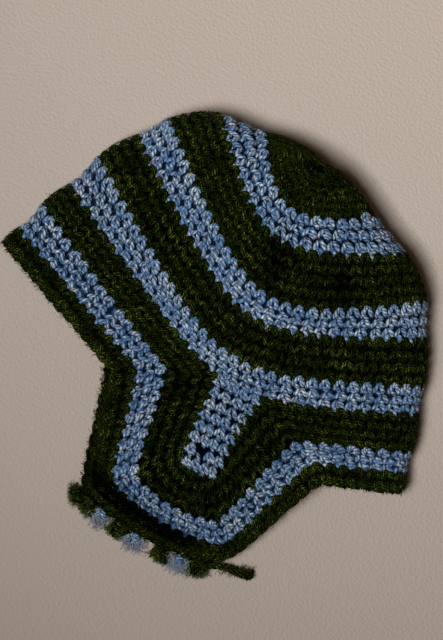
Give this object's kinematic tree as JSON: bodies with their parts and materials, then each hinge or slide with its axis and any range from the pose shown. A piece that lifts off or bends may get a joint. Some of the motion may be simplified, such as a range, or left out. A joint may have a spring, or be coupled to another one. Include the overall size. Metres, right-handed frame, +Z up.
{
  "type": "chullo",
  "caption": "Crocheted ear-flap hat in olive green and sky blue rounds, lying on its side with its flaps together and cut tufts along the lower flap's end.",
  "frame": {"origin": "on the resting surface, below the middle of the lying hat", "axes": "+Z up from the surface, +Y towards the crown, -Y towards the mouth and the ear flaps, +X across the hat"},
  "size_m": [0.2452, 0.2272, 0.0376],
  "materials": {
    "green_yarn": "fuzzy matt wool blend",
    "blue_yarn": "smooth yarn with a soft sheen"
  },
  "bodies": {
    "root": {"crown_top": "green_yarn", "blue_band_1": "blue_yarn", "green_band_1": "green_yarn", "blue_band_2": "blue_yarn", "green_band_2": "green_yarn", "blue_band_3": "blue_yarn", "green_band_3": "green_yarn", "blue_band_4": "blue_yarn", "brim_border": "green_yarn", "ear_tab_upper": "blue_yarn", "ear_tab_lower": "blue_yarn", "tuft_1": "green_yarn", "tuft_2": "green_yarn", "tuft_3": "blue_yarn", "tuft_4": "green_yarn", "tuft_5": "blue_yarn", "tuft_6": "green_yarn", "tuft_7": "blue_yarn", "tuft_8": "green_yarn", "yarn_tail": "green_yarn"}
  },
  "joints": []
}
